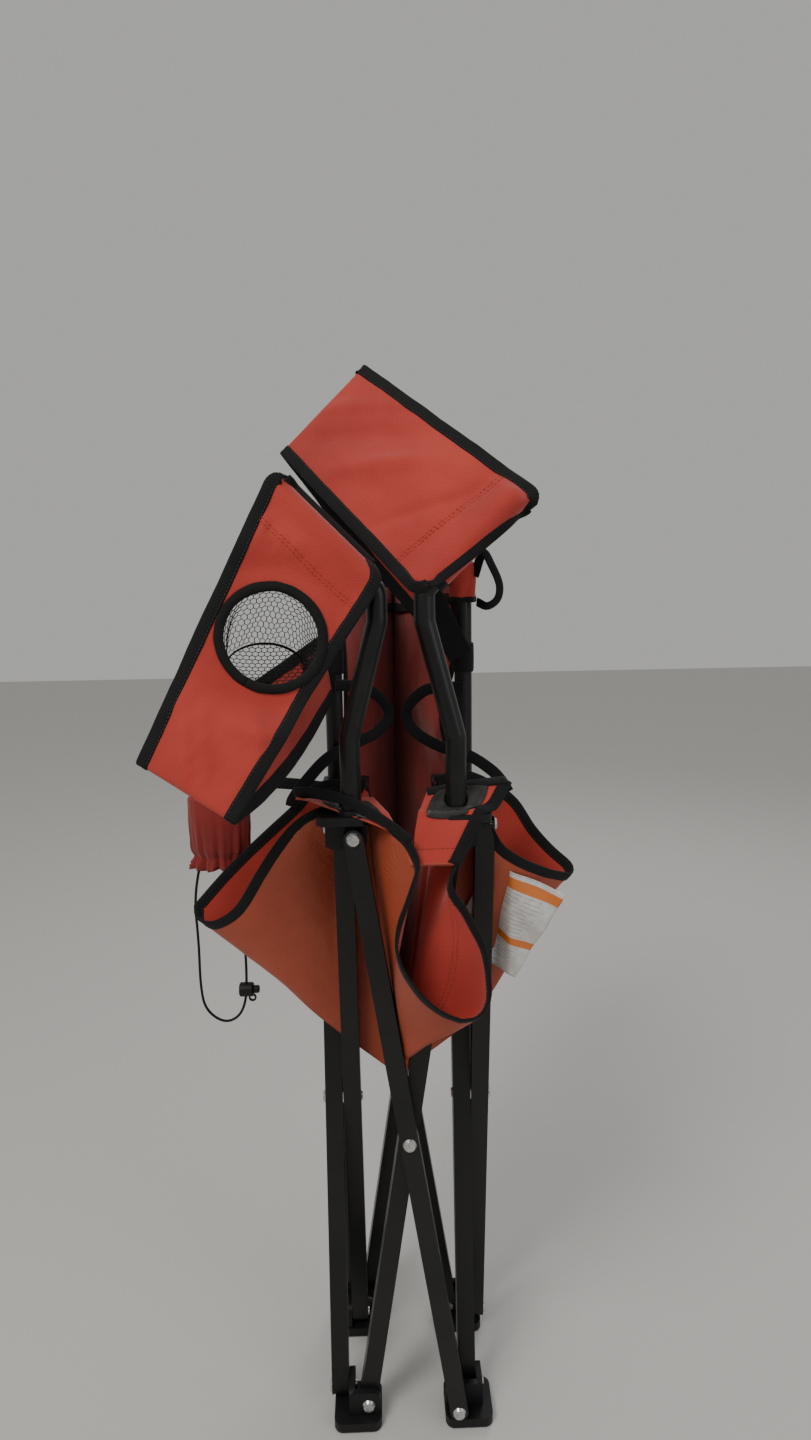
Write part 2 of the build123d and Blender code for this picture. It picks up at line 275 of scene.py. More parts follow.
def leather_material(name):
    mat, nt, bsdf = new_material(name, 0.45, 0.5)
    obj = coords(nt, "Object")
    vor = nt.nodes.new("ShaderNodeTexVoronoi")
    vor.inputs["Scale"].default_value = 650
    nt.links.new(obj, vor.inputs["Vector"])
    n = noise_node(nt, obj, 40, 4)
    col = ramp(nt, n, [(0.3, (0.010, 0.010, 0.010)), (0.7, (0.028, 0.027, 0.026))])
    nt.links.new(col, bsdf.inputs["Base Color"])
    nt.links.new(plus(nt, times(nt, n, 0.25), 0.3), bsdf.inputs["Roughness"])
    bump(nt, bsdf, vor.outputs["Distance"], 0.4, 0.0003)
    return mat


def webbing_material(name, col=(0.0075, 0.0075, 0.008), period=0.0022):
    """Ribbed tape: ribs run across the strip's map."""
    mat, nt, bsdf = new_material(name, 0.8, 0.18, sheen=0.06)
    uv = coords(nt, "UV")
    sep = nt.nodes.new("ShaderNodeSeparateXYZ")
    nt.links.new(uv, sep.inputs[0])
    rib = math_node(nt, "SINE", times(nt, sep.outputs[0], 2 * pi / period))
    rib = plus(nt, times(nt, rib, 0.5), 0.5)
    fuzz = noise_node(nt, uv, 1400, 3)
    tone = plus(nt, times(nt, rib, 0.5), times(nt, fuzz, 0.5))
    dark, light = (tuple(c * k for c in col) for k in (0.5, 2.1))
    nt.links.new(ramp(nt, tone, [(0.2, dark), (0.85, light)]), bsdf.inputs["Base Color"])
    bump(nt, bsdf, tone, 0.7, 0.0004)
    return mat


def label_material(name):
    """White printed card: two orange bars and faint blank rules, no lettering."""
    mat, nt, bsdf = new_material(name, 0.55, 0.4)
    uv = coords(nt, "UV")
    sep = nt.nodes.new("ShaderNodeSeparateXYZ")
    nt.links.new(uv, sep.inputs[0])
    across, down = sep.outputs[0], sep.outputs[1]
    rule_pitch = 0.0042

    def between(coord, lo, hi):
        return times(nt, above(nt, coord, lo), math_node(nt, "LESS_THAN", coord, hi))

    bars = math_node(nt, "MAXIMUM", between(down, 0.005, 0.015), between(down, 0.062, 0.070))
    rules = above(nt, math_node(nt, "SINE", times(nt, down, 2 * pi / rule_pitch)), 0.72)
    keep = between(across, 0.006, 0.062)
    broken = above(nt, noise_node(nt, uv, 70, 1), 0.42)
    rules = times(nt, times(nt, rules, keep), broken)
    paper = ramp(nt, noise_node(nt, uv, 160, 4), [(0.3, (0.62, 0.60, 0.57)), (0.7, (0.76, 0.75, 0.72))])
    ruled = mix_colour(nt, times(nt, rules, 0.45), paper, (0.22, 0.21, 0.2))
    barred = mix_colour(nt, bars, ruled, (0.72, 0.2, 0.04))
    nt.links.new(barred, bsdf.inputs["Base Color"])
    bump(nt, bsdf, noise_node(nt, uv, 45, 3), 0.5, 0.0009)
    return mat


def plain_stage(name, col, rough):
    mat, _, bsdf = new_material(name, rough, 0.2)
    bsdf.inputs["Base Color"].default_value = (*col, 1)
    return mat


RED = cloth_material("red_cloth", (0.30, 0.022, 0.016), (0.44, 0.038, 0.026), (0.56, 0.062, 0.043))
# the bag's cloth is the red cloth darkened, as painted shade: the bag hangs in the left armrest's shadow
BAG_RED_PAINTED_SHADE = cloth_material("bag_cloth", (0.17, 0.012, 0.010), (0.25, 0.018, 0.014), (0.33, 0.03, 0.022),
                         period=0.0012)
UNDER = cloth_material("coated_underside", (0.28, 0.040, 0.018), (0.39, 0.066, 0.029), (0.47, 0.095, 0.042),
                       sheen=0.05, rough=0.5, spec=0.4, depth=0.0001, crease=0.0028)
BLACK_CLOTH = cloth_material("black_cloth", (0.004, 0.004, 0.004), (0.007, 0.007, 0.007),
                             (0.013, 0.013, 0.013), period=0.0012, sheen=0.05, spec=0.2)
BINDING = webbing_material("binding_tape")
WEB = webbing_material("webbing", (0.007, 0.007, 0.0075), 0.0016)
CORD = webbing_material("cord_sheath", (0.010, 0.010, 0.010), 0.0014)
NET = plastic_material("net_yarn", (0.006, 0.006, 0.006), 0.6)
TUBE = tube_material("powder_coat")
PLASTIC = plastic_material("moulded_plastic", (0.006, 0.006, 0.0064), 0.5)
STEEL = steel_material("rivet_steel")
LEATHER = leather_material("patch_leather")
LABEL = label_material("label_card")
THREAD = plastic_material("thread", (0.33, 0.045, 0.035), 0.75)
DARK_THREAD = plastic_material("dark_thread", (0.03, 0.03, 0.03), 0.7)


def dress(node, mat):
    obj = bpy.data.objects.get(node) or frame["nodes"][node]
    if not obj.material_slots:
        obj.data.materials.append(mat)
    for s in obj.material_slots:
        s.material = mat


for node in [s["node"] for s in frame["record"]["subparts"]]:
    if "rivet" in node:
        dress(node, STEEL)
    elif node.startswith(("leg_", "arm_post", "upright_left", "upright_right")):
        dress(node, TUBE)
    elif node.startswith(("foot_", "hub_", "slider_", "upright_cap", "toggle", "cup_ring")):
        dress(node, PLASTIC)

# ------------------------------------------------------------------ mesh helpers
def link(name, data):
    obj = bpy.data.objects.new(name, data)
    bpy.context.scene.collection.objects.link(obj)
    return obj


def ride_on(body, slot, *pieces):
    for piece in pieces:
        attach(piece, body)


def applied(obj):
    """The object's modifiers made part of its mesh."""
    dg = bpy.context.evaluated_depsgraph_get()
    mesh = bpy.data.meshes.new_from_object(obj.evaluated_get(dg), depsgraph=dg)
    obj.modifiers.clear()
    old = obj.data
    obj.data = mesh
    bpy.data.meshes.remove(old)
    for p in mesh.polygons:
        p.use_smooth = True
    return obj


def sheet_mesh(name, point, nu, nv, size, top, under, thick=1.0, keep=None):
    """Two-sided cloth from point(u, v); its map is in metres, size = (width, length)."""
    verts, faces, uvs = [], [], []
    for i in range(nu + 1):
        for j in range(nv + 1):
            verts.append(point(i / nu, j / nv))
            uvs.append((i / nu * size[0], j / nv * size[1]))
    for i in range(nu):
        for j in range(nv):
            a, b = i * (nv + 1) + j, (i + 1) * (nv + 1) + j
            f = (a, b, b + 1, a + 1)
            if keep is None or keep(sum((verts[k] for k in f), Vector()) / 4):
                faces.append(f)
    mesh = bpy.data.meshes.new(name)
    mesh.from_pydata(verts, [], faces)
    layer = mesh.uv_layers.new(name="map")
    for loop in mesh.loops:
        layer.data[loop.index].uv = uvs[loop.vertex_index]
    obj = link(name, mesh)
    mesh.materials.append(top)
    mesh.materials.append(under)
    bm = bmesh.new()
    bm.from_mesh(mesh)
    bmesh.ops.remove_doubles(bm, verts=bm.verts, dist=1e-6)
    loose = [v for v in bm.verts if not v.link_faces]
    bmesh.ops.delete(bm, geom=loose, context="VERTS")
    bm.to_mesh(mesh)
    bm.free()
    solid = obj.modifiers.new("thickness", "SOLIDIFY")
    solid.thickness = thick * MM
    solid.offset = 0
    solid.material_offset = 1
    solid.use_quality_normals = True
    return applied(obj)


def smooth_path(points, count):
    """Catmull-Rom through the points, evenly spaced along its length."""
    pts = [points[0] * 2 - points[1]] + list(points) + [points[-1] * 2 - points[-2]]
    dense = []
    for a, b, c, d in zip(pts, pts[1:], pts[2:], pts[3:]):
        for i in range(12):
            t = i / 12
            dense.append(0.5 * ((2 * b) + (c - a) * t + (2 * a - 5 * b + 4 * c - d) * t * t
                                + (3 * b - a - 3 * c + d) * t**3))
    dense.append(points[-1].copy())
    run = [0.0]
    for p, q in zip(dense, dense[1:]):
        run.append(run[-1] + (q - p).length)
    out, k = [], 0
    for i in range(count + 1):
        s = run[-1] * i / count
        while k < len(run) - 2 and run[k + 1] < s:
            k += 1
        gap = run[k + 1] - run[k]
        out.append(dense[k].lerp(dense[k + 1], (s - run[k]) / gap if gap else 0))
    return out


def traced(points, count):
    """A smooth path in metres through points in millimetres."""
    return [p * MM for p in smooth_path([Vector(p) for p in points], count)]


def directions(path):
    """The unit direction of the path at each of its points."""
    last = len(path) - 1
    return [(path[min(i + 1, last)] - path[max(i - 1, 0)]).normalized() for i in range(last + 1)]


def finished(name, verts, faces, mat, uvs=None):
    """A smooth object of these faces, with its map where uvs are given."""
    mesh = bpy.data.meshes.new(name)
    mesh.from_pydata(verts, [], faces)
    if uvs:
        layer = mesh.uv_layers.new(name="map")
        for loop in mesh.loops:
            layer.data[loop.index].uv = uvs[loop.vertex_index]
    mesh.materials.append(mat)
    for p in mesh.polygons:
        p.use_smooth = True
    return link(name, mesh)


def strip_mesh(name, path, across, width, thick, mat):
    """A tape with rounded edges: across[i] is its width direction at path[i]."""
    sides = 12
    ring = []
    for k in range(sides):
        a = 2 * pi * k / sides
        c, s = cos(a), sin(a)
        ring.append((abs(c) ** 0.5 * (1 if c > 0 else -1) * width / 2,
                     abs(s) ** 0.7 * (1 if s > 0 else -1) * thick / 2))
    verts, faces, uvs, run = [], [], [], 0.0
    n = len(path)
    for i, (p, t) in enumerate(zip(path, directions(path))):
        d = (across[i] - t * across[i].dot(t)).normalized()
        h = t.cross(d)
        if i:
            run += (p - path[i - 1]).length
        for k, (x, y) in enumerate(ring):
            verts.append(p + (d * x + h * y) * MM)
            uvs.append((run, k / sides * 2 * width * MM))
    for i in range(n - 1):
        for k in range(sides):
            a, b = i * sides + k, i * sides + (k + 1) % sides
            faces.append((a, b, b + sides, a + sides))
    faces.append(tuple(reversed(range(sides))))
    faces.append(tuple((n - 1) * sides + k for k in range(sides)))
    return finished(name, verts, faces, mat, uvs)


def stitch_mesh(name, path, normals, mat, pitch=4.2, long=2.9, radius=0.42, lift=0.75):
    """A row of thread stitches lying on the cloth."""
    sides = 6
    rings = ((-0.5, 0.25), (-0.3, 1.0), (0.3, 1.0), (0.5, 0.25))     # place along a stitch, share of its radius
    verts, faces = [], []
    run, k = 0.0, 0
    total = sum((b - a).length for a, b in zip(path, path[1:]))
    count = int(total / (pitch * MM))
    for s in range(count):
        want = (s + 0.5) * pitch * MM
        while k < len(path) - 2 and run + (path[k + 1] - path[k]).length < want:
            run += (path[k + 1] - path[k]).length
            k += 1
        seg = path[k + 1] - path[k]
        p = path[k] + seg.normalized() * (want - run) + normals[k] * lift * MM
        t, h = seg.normalized(), normals[k].normalized()
        d = t.cross(h).normalized()
        base = len(verts)
        for x, w in rings:
            for a in range(sides):
                ang = 2 * pi * a / sides
                verts.append(p + t * x * long * MM + (d * cos(ang) + h * sin(ang)) * radius * w * MM)
        for r in range(len(rings) - 1):
            for a in range(sides):
                i0, i1 = base + r * sides + a, base + r * sides + (a + 1) % sides
                faces.append((i0, i1, i1 + sides, i0 + sides))
        faces.append(tuple(base + a for a in reversed(range(sides))))
        faces.append(tuple(base + (len(rings) - 1) * sides + a for a in range(sides)))
    return finished(name, verts, faces, mat)


# ------------------------------------------------------------------ drawcord
cord_route = [
    (-213, 50, 566.2), (-221, 50, 536), (-218.7, 50, 482), (-219.9, 50, 430), (-215.3, 50, 402),
    (-193, 50, 386), (-172.5, 50, 402), (-169, 50, 450), (-171, 50, 503), (-168.5, 50, 538),
    (-172, 50, 566.2),
]
CORD_RADIUS = 1.4
curve = bpy.data.curves.new("drawcord_line", "CURVE")
curve.dimensions = "3D"
line = curve.splines.new("NURBS")
line.points.add(len(cord_route) - 1)
for pt, xyz in zip(line.points, cord_route):
    pt.co = (*(mm(*xyz)), 1)
line.order_u = 3
line.use_endpoint_u = True
line.resolution_u = 16
curve.bevel_depth = CORD_RADIUS * MM
curve.bevel_resolution = 4
curve.materials.append(CORD)
cord = link("drawcord_line", curve)
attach(cord, "slider_rear_left")
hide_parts("drawcord")


# ------------------------------------------------------------------ seat
HALF = LEG_LENGTH / 2 * sin(LEG_LEAN)             # from the chair's axis to a leg's end pivot
HUB_Z = FOOT_PIVOT_Z + LEG_LENGTH * cos(LEG_LEAN)
SEAT_Q = HALF - 12                                # x and y of the seat's corners
SEAT_Z = HUB_Z + 20.2
TIP = Vector((0, 0, SEAT_Z - 306.5))              # the seat's centre, drawn down
CREASE_OUT, CREASE_DROP = 172, 168                # each gore's crease, straight out and down from the corners
TIP_SHIFT = Vector((-9, 0, 2))                    # how far the cloth's lowest point hangs from it
TUBE_FRONT = HALF + 20.2 + 0.5                    # the cloth may swing aside only in front of this
HALF_STEPS = 40                                   # steps along each half of a gore's edge
RIM = 96                                          # steps along a gore's edge in its mesh


def quarter(p, k):
    """The point turned k quarter turns about the chair's axis."""
    x, y = p[0], p[1]
    for _ in range(k % 4):
        x, y = -y, x
    return Vector((x, y, p[2]))


def half_path(points):
    return smooth_path([Vector(p) for p in points], HALF_STEPS)


seat_edges = {
    "front": (
        [(-36, -40, 658), (-24, -70, 656), (-8, -91, 646), (5, -99, 636), (11, -104, 618), (2, -110, 590),
         (-9, -116, 560), (-7, -122, 534), (8, -128, 508), (28, -132, 491), (46, -134, 484)],
        [(46, -134, 484), (62, -132, 486), (72, -127, 503), (68, -117, 540), (54, -107, 572), (41, -101, 592),
         (42, -96, 608), (56, -88, 634), (76, -70, 655), (70, -50, 664), (36, -36, 660)],
    ),
    "right": (
        [(36, -36, 660), (74, -52, 642), (90, -52, 617), (110, -45, 600), (138, -30, 583), (166, -12, 570)],
        [(166, -12, 570), (169, -2, 577), (152, 8, 592), (134, 15, 612), (112, 30, 642), (70, 42, 664),
         (36, 36, 660)],
    ),
    "rear": (
        [(36, 36, 658), (27, 70, 612), (12, 120, 552), (0, 171, 492)],
        [(0, 171, 492), (-12, 120, 552), (-27, 70, 612), (-36, 36, 658)],
    ),
    "left": (
        [(-36, 36, 660), (-86, 38, 656), (-110, 30, 635), (-139, 20, 611), (-175, 8, 579), (-207, -5, 546)],
        [(-207, -5, 546), (-204, -14, 536), (-190, -23, 534), (-172, -29, 544), (-157, -34, 560),
         (-138, -43, 592), (-114, -53, 628), (-92, -58, 650), (-60, -46, 659), (-36, -36, 660)],
    ),
}


def make_gore(k, side):
    a1, a2 = quarter((-SEAT_Q, -SEAT_Q, SEAT_Z), k), quarter((SEAT_Q, -SEAT_Q, SEAT_Z), k)
    mid = quarter((0, -CREASE_OUT, SEAT_Z - CREASE_DROP), k)
    out = quarter((0, -1, 0), k)
    first, second = (half_path(h) for h in seat_edges[side])
    edge = first + second[1:]
    tip = TIP + TIP_SHIFT

    def ideal(u):
        return a1.lerp(mid, u * 2) if u < 0.5 else mid.lerp(a2, u * 2 - 1)

    def point(u, v):
        e = ideal(u)
        s = u * (len(edge) - 1)
        i = min(int(s), len(edge) - 2)
        shaped = edge[i].lerp(edge[i + 1], s - i)
        reach = max(0.05, 1 - TUBE_FRONT / max(1.0, e.dot(out)))
        w = smooth01(1 - v / (reach * 1.02))
        p = e.lerp(tip, v) + (shaped - e) * w
        n = (e - TIP).cross(a2 - a1).normalized()
        free = smooth01((p.dot(out) - TUBE_FRONT) / 18)
        low = smooth01((470 - p.z) / 60) * (1 - free) * 0.35
        amp = 2.6 * free + 1.2 * low
        swing = fbm(Vector((u * 5.0, v * 1.3, k * 7.1)), 1.7) * amp
        side_way = (a2 - a1).normalized()
        crumple = fbm(p * 0.001 * 14 + Vector((k, 0, 0)), 1.0) * amp * 0.6
        return (p + side_way * swing * 1.3 + n * crumple) * MM

    gore = sheet_mesh(f"seat_{side}_cloth", point, RIM, 54, (0.44, 0.31), RED, UNDER, CLOTH)
    bottom = edge[HALF_STEPS]
    crease = (bottom - tip).normalized()
    across = out.cross(UP)
    across = (across - crease * across.dot(crease)).normalized()
    if across.dot(a2 - a1) < 0:
        across = -across
    if side == "front":          # both strands of this edge lie to one side of the crease
        across = Vector((0.925, 0.38, 0))
    spread = 14 if side == "front" else 9
    start, end = (bottom - across * spread) * MM, (bottom + across * spread) * MM
    bodies = (f"seat_{side}_first", f"seat_{side}_second")

    rim = [point(i / RIM, 0) for i in range(RIM + 1)]
    inward = [point(i / RIM, 0.05) - point(i / RIM, 0) for i in range(RIM + 1)]
    centre = [p + (d.normalized() if d.length else DOWN) * 3.4 * MM for p, d in zip(rim, inward)]
    tape = strip_mesh(f"seat_{side}_binding", centre, inward, 10.5, 2.8, BINDING)
    stitch = stitch_mesh(
        f"seat_{side}_stitch",
        [p + d.normalized() * 7 * MM for p, d in zip(rim, inward)],
        [(rim[min(i + 1, RIM)] - rim[max(i - 1, 0)]).cross(inward[i]).normalized() for i in range(RIM + 1)],
        DARK_THREAD, pitch=3.6, long=2.4, radius=0.35, lift=1.5,
    )
    for piece in (gore, tape, stitch):
        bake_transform(piece)
        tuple(start)
        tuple(end)
    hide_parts(f"seat_{side}_first", f"seat_{side}_second")
    return point, start, end, bodies


gores = {side: make_gore(k, side) for k, side in enumerate(["front", "right", "rear", "left"])}

# seams sewn across the front gore
point, start, end, bodies = gores["front"]
normals = [Vector((-0.5, -0.8, 0.3)).normalized()] * 31
for n, (u0, u1) in enumerate(((0.74, 0.60), (0.755, 0.615))):
    path = [point(u0 + (u1 - u0) * t / 30, 0.03 + 0.27 * t / 30) for t in range(31)]
    seam = stitch_mesh(f"seat_front_seam_{n}", path, normals, THREAD, lift=0.8)
    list(bodies)
    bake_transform(seam)
    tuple(start)
    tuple(end)

# ------------------------------------------------------------------ front corners of the seat
def outside_circle(x, y, radius):
    """A test for points in metres: is one outside this upright circle, given in millimetres?"""
    return lambda p: ((p.x / MM - x) ** 2 + (p.y / MM - y) ** 2) ** 0.5 > radius


def corner_sheet(name, rows, bulge, body, size, patch_hole, drape=0.0):
    """Cloth through rows of (left, right) points from the rear edge to the front one. Where drape is
    given, the cloth doesn't go below that height over the hub."""
    rows = [(Vector(a), Vector(b)) for a, b in rows]

    def point(u, v):
        s = min(max(v, -0.2), 1.2) * (len(rows) - 1)
        i = min(max(int(s), 0), len(rows) - 2)
        (a, b), (c, d) = rows[i], rows[i + 1]
        p = a.lerp(b, u).lerp(c.lerp(d, u), s - i)
        p.z += bulge * 4 * u * (1 - u) * 0.6 + 1.0 * fbm(p * 0.03, 1.0)
        if drape:
            top = drape - 1.7 * max(0.0, -(p.y + 75))
            gap = top - p.z
            p.z += 0.5 * (gap + sqrt(gap * gap + 9)) if gap > -12 else 0
        return p * MM

    hx, hy, hr = patch_hole
    keep = outside_circle(hx, hy, hr)
    obj = sheet_mesh(name, point, 48, 56, size, UNDER, RED, CLOTH, keep)
    ride_on(body, "red_fabric", obj)
    return point


POST_HOLE = 11.5
right_corner = corner_sheet(
    "seat_corner_right",
    [((22, -50, 668), (97, -46, 677)), ((16, -66, 659), (84, -62, 660)),
     ((9, -85, 640), (60, -84, 632)), ((5, -100, 606), (43, -100, 594)),
     ((0, -94, 545), (45, -90, 535))],
    3, "hub_front_right", (0.07, 0.155), (POST_X, POST_Y, POST_HOLE), 657.0)
left_corner = corner_sheet(
    "seat_corner_left",
    [((-100, -34, 660), (-28, -40, 662)), ((-100, -48, 664), (-14, -68, 654)),
     ((-98, -56, 668), (-4, -95, 642))],
    1, "hub_front_left", (0.09, 0.055), (-POST_X, POST_Y, POST_HOLE))

front_line = [(-101, -42, 668), (-92, -50, 671), (-75, -61, 671.5), (-53, -73, 669), (-30, -84, 659.5),
              (-9, -93, 647), (4, -99.5, 637)]
path = traced(front_line, 40)
across = [Vector((0.15, -0.25, 1))] * 41
tape = strip_mesh("seat_corner_left_binding", path, across, 11, 3.0, BINDING)
ride_on("hub_front_left", "black_fabric", tape)
path = [right_corner(1.0, 0.8 * v / 30) for v in range(31)]
across = [Vector((1, 0.1, -0.2))] * 31
side_tape = strip_mesh("seat_corner_right_binding", path, across, 11.5, 3.0, BINDING)
path = [right_corner(u / 30, 0.0) for u in range(31)]
across = [Vector((0, -0.9, -0.35))] * 31
top_tape = strip_mesh("seat_corner_right_top_binding", path, across, 11, 3.0, BINDING)
ride_on("hub_front_right", "black_fabric", side_tape, top_tape)
path = [right_corner(0.05 + 0.9 * u / 30, 0.63) for u in range(31)]
normals = [Vector((0, -0.8, 0.6))] * 31
seam = stitch_mesh("seat_corner_right_stitch", path, normals, THREAD, 4.4, 3.0, 0.4, 0.9)
ride_on("hub_front_right", "red_fabric", seam)


def leather_patch(side, sign, surface, centre_uv, half):
    """Stitched reinforcement with a hole for the arm post, lying on the corner cloth."""
    name = f"patch_{side}"
    cu, cv = centre_uv
    hu, hv = half

    def point(u, v):
        # square to rounded square
        x, y = 2 * u - 1, 2 * v - 1
        x, y = x * sqrt(1 - 0.22 * y * y), y * sqrt(1 - 0.22 * x * x)
        p = surface(cu + hu * x, cv + hv * y)
        n = (surface(cu + hu * x + 0.01, cv + hv * y) - p).cross(surface(cu + hu * x, cv + hv * y - 0.01) - p)
        n = n.normalized()
        if n.z < 0:
            n = -n
        edge = max(abs(2 * u - 1), abs(2 * v - 1))
        return p + n * (2.2 - 1.1 * smooth01((edge - 0.86) / 0.14)) * MM

    keep = outside_circle(sign * POST_X, POST_Y, 10.6)
    obj = sheet_mesh(name, point, 44, 44, (0.055, 0.05), LEATHER, LEATHER, 1.6, keep)
    loop = []
    for i in range(81):
        a = 2 * pi * i / 80
        c, s = cos(a), sin(a)
        m = max(abs(c), abs(s)) ** 0.75
        loop.append(point(0.5 + 0.43 * c / m * 0.93, 0.5 + 0.43 * s / m * 0.93))
    normals = [Vector((0, -0.6, 0.8))] * 81
    thread = stitch_mesh(f"{name}_stitch", loop, normals, DARK_THREAD, 3.4, 2.3, 0.4, 1.1)
    ride_on(f"hub_front_{side}", "black_leather", obj, thread)
    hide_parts(f"seat_patch_front_{side}")


leather_patch("right", 1, right_corner, (0.47, 0.23), (0.36, 0.2))
leather_patch("left", -1, left_corner, (0.6, 0.55), (0.3, 0.38))


# ------------------------------------------------------------------ back
def make_back(side, sign):
    upright = Vector((sign * UPRIGHT_AT, UPRIGHT_AT, 0))
    crease = Vector((0, 310.5, 0))
    away = (crease - upright).normalized()
    n = Vector((-away.y, away.x, 0)) * sign      # towards the inside of the fold
    length = (crease - upright).length

    def point(u, v):
        # u from the upright to the crease, v from the top down
        top = 873 - 26 * smooth01(u * 1.1) * (1 - 0.25 * u)
        low = 484 + 10 * sin(pi * u)
        z = top + (low - top) * v
        slack = smooth01((v - 0.08) / 0.3) * smooth01((0.95 - v) / 0.5)
        near = 27 + 24 * slack * (1 + 0.3 * sin(v * 21))
        s = near + (length - near) * u
        ripple = 5.5 * sin(v * 15 + u * 2.4 + sign) * (1 - u) * slack
        ripple += 3.2 * fbm(Vector((u * 2.2, v * 3.4, sign * 3)), 1.6) * sin(pi * min(1, u * 1.02))
        p = upright + away * s + n * (ripple + 3.0 * sin(pi * u)) * (1 - smooth01((u - 0.9) / 0.1))
        return Vector((p.x, p.y, z)) * MM

    body = f"back_{side}"
    wide, high = 52, 80                          # steps of the panel's mesh
    faces = (RED, UNDER) if sign > 0 else (UNDER, RED)
    cloth = sheet_mesh(f"back_{side}_cloth", point, wide, high, (0.22, 0.38), *faces, CLOTH)
    rim = [point(0, i / high) for i in range(high + 1)]
    inward = [point(0.05, i / high) - point(0, i / high) for i in range(high + 1)]
    side_tape = strip_mesh(f"back_{side}_binding", rim, inward, 11, 2.6, BINDING)
    edge_tapes = []
    for tag, edge, beside in (("top", 0, 0.02), ("low", 1, 0.98)):
        line = [point(i / wide, edge) for i in range(wide + 1)]
        way = [point(i / wide, beside) - point(i / wide, edge) for i in range(wide + 1)]
        edge_tapes.append(strip_mesh(f"back_{side}_{tag}_binding", line, way, 11, 2.6, BINDING))
    hem_line = [point(u / 40, 0.085) + n * 2.4 * MM for u in range(41)]
    hem_tape = strip_mesh(f"back_{side}_pocket_line", hem_line, [UP] * 41, 11, 2.4, BINDING)
    tapes = [side_tape, *edge_tapes, hem_tape]
    ride_on(body, "red_fabric", cloth)
    ride_on(body, "black_fabric", *tapes)
    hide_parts(body)

    # pocket sewn round the top of the upright
    def pocket(u, v):
        a = 2 * pi * u
        r = 12.2 + 1.1 * sin(2 * a + 1) + 0.8 * sin(5 * a + v * 6) * v
        if v < 0.16:
            r *= rounded_end((0.16 - v) / 0.16, 0.01)
        z = 880.5 - 40 * v
        return (upright + Vector((cos(a) * r, sin(a) * r, z))) * MM

    sleeve = sheet_mesh(f"back_{side}_pocket", pocket, 48, 26, (0.08, 0.042), RED, RED, CLOTH)
    hem = [pocket(i / 48, 1.0) for i in range(49)]
    hem_tape = strip_mesh(f"back_{side}_pocket_hem", hem, [UP] * 49, 6, 1.8, BINDING)
    web = [upright * MM + away * (11 + 19 * t / 6) * MM + Vector((0, 0, 0.858)) for t in range(7)]
    bridge = strip_mesh(f"back_{side}_pocket_web", web, [UP] * 7, 34, 1.6, RED)
    ride_on(f"foot_rear_{side}", "red_fabric", sleeve, hem_tape, bridge)


make_back("left", -1)
make_back("right", 1)

loops = {
    "left": [(-64, 48, 757), (-46, 70, 752), (-26, 84, 743), (-10, 93, 720), (-22, 86, 701), (-46, 64, 693),
             (-74, 34, 684), (-96, 16, 664), (-109, 20, 646), (-112, 27, 637)],
    "right": [(66, 48, 752), (50, 70, 749), (28, 84, 744), (9, 95, 722), (16, 92, 700), (42, 78, 685),
              (72, 60, 678), (94, 49, 665), (104, 40, 655), (110, 32, 645)],
}
for side, pts in loops.items():
    path = traced(pts, 60)
    across = [t.cross(Vector((0, -1, 0.2))) for t in directions(path)]
    tape = strip_mesh(f"back_{side}_loop", path, across, 12, 2.4, BINDING)
    ride_on(f"foot_rear_{side}", "black_fabric", tape)


# ------------------------------------------------------------------ armrests
POST_R = 13.2                        # the cloth's radius over the arm post
END_R = 13                           # rounding of the corners at the strip's front end
ARM_WIDE = 44                        # steps across the strip


def post_end(sign):
    """The inclined end of an arm post: where it starts and its direction."""
    return Vector((sign * 21, POST_Y, 855)), Vector((sign * 0.7071, 0, 0.7071))


def bump_at(x, centre, width):
    return exp(-((x - centre) / width) ** 2)


